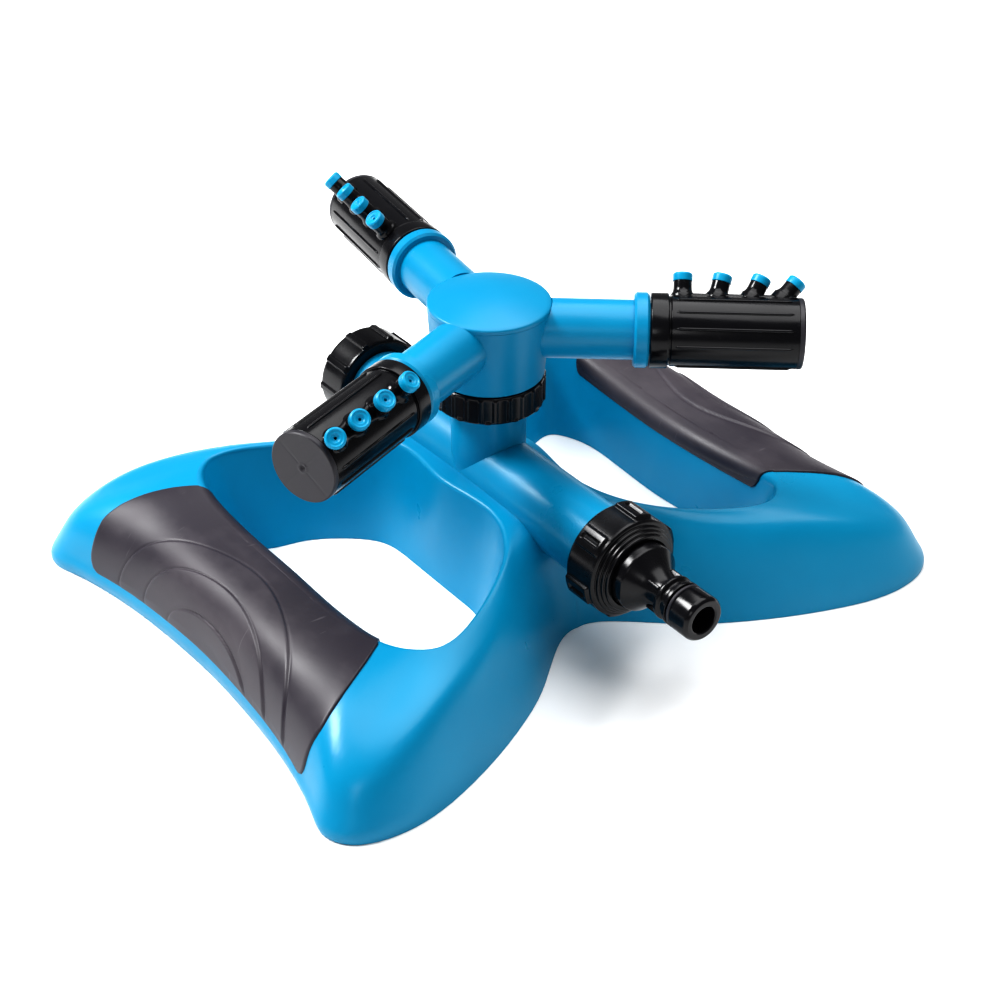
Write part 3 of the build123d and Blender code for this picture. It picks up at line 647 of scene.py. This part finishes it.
# ------------------------------------------------------------------ rotor lid
def rotor_dome():
    """Low crown with a crisp rolled rim and a skirt inside the hub."""
    def crown(r):
        return DOME_TOP - CROWN_R + math.sqrt(CROWN_R ** 2 - r ** 2)
    side = HUB_R - 0.05
    outline = [(r, crown(r), 0) for r in np.linspace(0, HUB_R - 1.0, 22)]
    outline += [(side, crown(side) - 0.2, 0.7), (side, HUB_RIM + 0.02, 0.15)]
    outline += [(15.6, HUB_RIM + 0.02, 0), (15.6, HUB_RIM - 1.0, 0), (14.4, HUB_RIM - 1.0, 0)]
    outline += [(14.4, HUB_RIM + 0.4, 0), (0, DOME_TOP - 2.4, 0)]
    return sharpen(lathe("rotor_lid", outline, BLUE, count=160))


# ------------------------------------------------------------------ nozzle heads
def nozzle_frame(base, lean):
    """Frame of one nozzle, built on Z: its foot on the arm's axis, leaning outward."""
    return shift(base - HEAD_R * math.tan(math.radians(lean)), 0, 0) @ turn(lean, "Y")


def nozzle_foot(lean):
    """Distance from the arm's axis to the barrel's surface along the nozzle."""
    return HEAD_R / math.cos(math.radians(lean))


def end_taper(share, length_share):
    """1 along a strip, with a quarter circle down to 0 at both ends; share runs from -1 to 1."""
    past = max(0.0, abs(share) - (1 - length_share)) / length_share
    return math.sqrt(max(0.0, 1 - past ** 2))


def strip(name, start, end, half_width, height, squareness, steps, length_share):
    """A low raised strip along +X on top of the barrel, closed underneath."""
    sections = []
    side = np.linspace(-1, 1, 17)
    for share in np.linspace(-1, 1, steps):
        x = np.full(len(side), (start + end) / 2 + share * (end - start) / 2)
        taper = end_taper(share, length_share)
        y = side * half_width(x[0]) * max(taper, 0.03)
        surface = np.sqrt(HEAD_R ** 2 - y ** 2)
        rise = (height + 0.2) * taper * (1 - np.abs(side) ** squareness)
        top = np.stack((x, y, surface - 0.2 + rise), axis=-1)
        bottom = np.stack((x, y, surface - 0.5), axis=-1)[::-1]
        sections.append(np.concatenate((top, bottom)))
    return tube_object(name, np.array(sections), BLACK_HEAD)


def rail(angle):
    """A low rounded rail along the barrel."""
    piece = strip("rail", HEAD_COLLAR_END + 1.9, HEAD_END - 1.5, lambda x: 0.65, 0.55, 3, 26, 0.04)
    return move(piece, turn(angle, "X"))


def nozzle_pad():
    """Raised strip under the nozzle row; its sides swell round each stem."""
    def half_width(x):
        return 2.9 + 1.5 * max(math.exp(-((x - base) / 2.6) ** 2) for base, _ in NOZZLES)
    return strip("pad", HEAD_COLLAR_END + 1.6, HEAD_END - 0.8, half_width, 0.8, 7, 90, 0.05)


def stem(base, lean):
    """One black nozzle stem with a flared foot."""
    foot, r = nozzle_foot(lean), STEM_R
    top = foot + STEM_LENGTH - 0.05
    outline = [(NOZZLE_BORE, foot - 2, 0), (r + 1.0, foot - 2, 0), (r + 0.9, foot + 0.2, 0)]
    outline += [(r + 0.25, foot + 1.1, 0.8), (r - 0.05, foot + 2.2, 0.8), (r - 0.1, top, 0.15)]
    outline += [(NOZZLE_BORE, top, 0), (NOZZLE_BORE, foot - 2, 0)]
    return move(sharpen(lathe("stem", outline, BLACK_HEAD, count=40)), nozzle_frame(base, lean))


def nozzle_head(number, angle):
    """Black barrel with its collar, rails, nozzle strip and stems."""
    r, step = HEAD_R - 0.35, HEAD_COLLAR_END
    outline = [(SPIGOT_BORE, HEAD_START, 0), (HEAD_COLLAR_R, HEAD_START, 0.5), (HEAD_COLLAR_R, step, 0.6)]
    outline += [(r, step, 0.15), (r, step + 0.7, 0.2), (HEAD_R, step + 0.9, 0.2)]
    outline += [(HEAD_R, HEAD_END - 0.02, 0.2), (HEAD_BORE, HEAD_END - 0.02, 0)]
    outline += [(HEAD_BORE, BORE_STEP, 0), (SPIGOT_BORE, BORE_STEP, 0), (SPIGOT_BORE, HEAD_START, 0)]
    barrel = sharpen(move(lathe("barrel", outline, BLACK_HEAD, count=144), LAY_ON_X))
    pieces = [barrel, nozzle_pad()] + [rail(a) for a in RAIL_ANGLES] + [stem(*nozzle) for nozzle in NOZZLES]
    return move(join(f"nozzle_barrel_{number}", pieces), arm_matrix(angle))


def plug_height(r, angle):
    """Face of the end plug: a gate dimple in a low ring, and a faint cross of flow lines."""
    cross = np.exp(-(r * np.cos(angle) / 0.35) ** 2) + np.exp(-(r * np.sin(angle) / 0.35) ** 2)
    gate = 0.12 * np.exp(-((r - 1.5) / 0.45) ** 2) - 0.55 * np.exp(-(r / 0.8) ** 4)
    return PLUG_END - 0.1 + gate - 0.07 * cross * (r > 1.6) * (r < HEAD_R - 1.0)


def end_plug(number, angle):
    """Disc that closes the barrel."""
    count = 120
    rings = np.append(np.linspace(0, 3, 16), np.linspace(3.2, HEAD_R - 0.45, 14))
    way, r = np.meshgrid(np.arange(count) * 2 * math.pi / count, rings)
    face = np.stack((r * np.cos(way), r * np.sin(way), plug_height(r, way)), axis=-1)
    outline = [(HEAD_R - 0.45, PLUG_END - 0.1, 0), (HEAD_R - 0.05, PLUG_END - 0.5, 0.25)]
    outline += [(HEAD_R - 0.02, HEAD_END + 0.02, 0.1), (HEAD_BORE - 0.02, HEAD_END + 0.02, 0)]
    outline += [(HEAD_BORE - 0.02, HEAD_END - 3, 0), (0, HEAD_END - 3, 0)]
    rim = lathe("rim", outline, DULL, count=count)
    faces = grid_faces(len(rings), count, close_columns=True)
    disc = new_object("disc", face.reshape(-1, 3), faces, DULL)
    plug = join(f"barrel_plug_{number}", [rim, disc])
    tidy(plug)
    return move(sharpen(plug), arm_matrix(angle) @ LAY_ON_X)


def nozzle_tip(base, lean):
    """One blue jet cap: a flat ring round a dished orifice."""
    foot = nozzle_foot(lean) + STEM_LENGTH
    top, low = foot + TIP_HEIGHT, foot - TIP_SEAT
    outline = [(JET_R, low, 0), (NOZZLE_BORE, low, 0), (NOZZLE_BORE, foot, 0), (TIP_R, foot, 0.2)]
    outline += [(TIP_R, top - 0.5, 0.2), (TIP_R - 0.5, top, 0.2), (TIP_R - 0.85, top, 0.15)]
    outline += [(TIP_R - 1.05, top - 0.35, 0.15), (1.5, top - 0.35, 0.15)]
    outline += [(0.95, top - 0.9, 0.1), (JET_R, top - 0.95, 0.1), (JET_R, low, 0)]
    return move(sharpen(lathe("tip", outline, BLUE_TIP, count=48), 60), nozzle_frame(base, lean))


def nozzle_tips(number, angle):
    """The four jet caps of one barrel."""
    return move(join(f"jet_caps_{number}", [nozzle_tip(*nozzle) for nozzle in NOZZLES]), arm_matrix(angle))


# ------------------------------------------------------------------ put it together
def stand_for(obj, node, body):
    """The piece replaces a CAD node and rides on its body."""
    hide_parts(node)
    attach(obj, body)


def pieces():
    """Every visible piece that replaces a CAD node."""
    grip_skin = grip_surface()
    stand_for(grip("grip_left", -1, grip_skin), "left_grip", "base")
    stand_for(grip("grip_right", 1, grip_skin), "right_grip", "base")
    stand_for(inlet_nut(), "inlet_nut", "inlet_nut")
    stand_for(end_cap(), "end_cap", "end_cap")
    stand_for(ring_nut(), "ring_nut", "ring_nut")
    stand_for(hose_adapter(), "hose_adapter", "base")
    stand_for(rotor_dome(), "rotor_dome", "rotor")
    for number, angle in enumerate(ARM_ANGLES, start=1):
        body = f"head_{number}"
        stand_for(nozzle_head(number, angle), f"nozzle_head_{number}", body)
        stand_for(end_plug(number, angle), f"head_end_plug_{number}", body)
        stand_for(nozzle_tips(number, angle), f"nozzle_tips_{number}", body)


def finish_carried_nodes():
    """Materials of the CAD nodes that stay visible."""
    seals = ["inlet_gasket", "adapter_o_ring", "end_cap_gasket", "spindle_seal"]
    groups = (
        (BLUE, ["base_shell", "tee_pipe", "rotor_manifold"]),
        (ZINC, ["base_screws"]),
        (PALE, ["inlet_filter", "spindle", "thrust_washer"]),
        (DULL, seals + [f"head_o_ring_{k}" for k in (1, 2, 3)]),
    )
    for finish, nodes in groups:
        for node in nodes:
            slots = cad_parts[node].data.materials
            slots.clear()
            slots.append(finish)


# ------------------------------------------------------------------ floor, lights, camera
def floor():
    """Plain white paper floor, just under the ground face."""
    made = Finish("floor_paper")
    tint = made.ramp(made.noise(3, 2.0), 0.3, 0.7)
    made.colour(made.blend(tint, (0.90, 0.90, 0.90), (0.93, 0.93, 0.93)))
    made.shader.inputs["Roughness"].default_value = 0.9
    bpy.ops.mesh.primitive_plane_add(size=8, location=(0, 0, -0.0002))
    plane = bpy.context.object
    plane.name = "studio_floor"
    plane.data.materials.append(made.material)


def area_light(name, place, size, power):
    """A soft light that faces the object."""
    light = bpy.data.lights.new(name, "AREA")
    light.shape = "RECTANGLE"
    light.size, light.size_y = size
    light.energy = power
    obj = bpy.data.objects.new(name, light)
    obj.location = place
    obj.rotation_euler = (Vector((0, 0, 0.05)) - Vector(place)).to_track_quat("-Z", "Y").to_euler()
    bpy.context.scene.collection.objects.link(obj)


def studio():
    """White floor, dim white surroundings and three soft lights."""
    floor()
    world = bpy.data.worlds.new("studio")
    world.use_nodes = True
    background = world.node_tree.nodes["Background"]
    background.inputs["Color"].default_value = (1, 1, 1, 1)
    background.inputs["Strength"].default_value = SURROUNDINGS
    bpy.context.scene.world = world
    for light in LIGHTS:
        area_light(*light)
    bpy.context.scene.view_settings.view_transform = "Standard"
    bpy.context.scene.view_settings.look = "High Contrast"


def camera():
    """The viewing angle: azimuth, elevation, roll and distance about a target near the middle."""
    azimuth, elevation, roll = math.radians(AZIMUTH), math.radians(ELEVATION), math.radians(ROLL)
    target, distance = Vector(TARGET) * MM, DISTANCE * MM
    level = Vector((math.sin(azimuth), -math.cos(azimuth), 0))
    back = level * math.cos(elevation) + Vector((0, 0, math.sin(elevation)))
    right = Vector((math.cos(azimuth), math.sin(azimuth), 0))
    up = back.cross(right)
    side = right * math.cos(roll) + up * math.sin(roll)
    top = up * math.cos(roll) - right * math.sin(roll)
    lens = bpy.data.cameras.new("camera")
    lens.lens = LENS
    lens.sensor_width = SENSOR
    obj = bpy.data.objects.new("camera", lens)
    basis = Matrix((side, top, back)).transposed().to_4x4()
    obj.matrix_world = Matrix.Translation(target + back * distance) @ basis
    bpy.context.scene.collection.objects.link(obj)
    bpy.context.scene.camera = obj


pieces()
finish_carried_nodes()
studio()
camera()
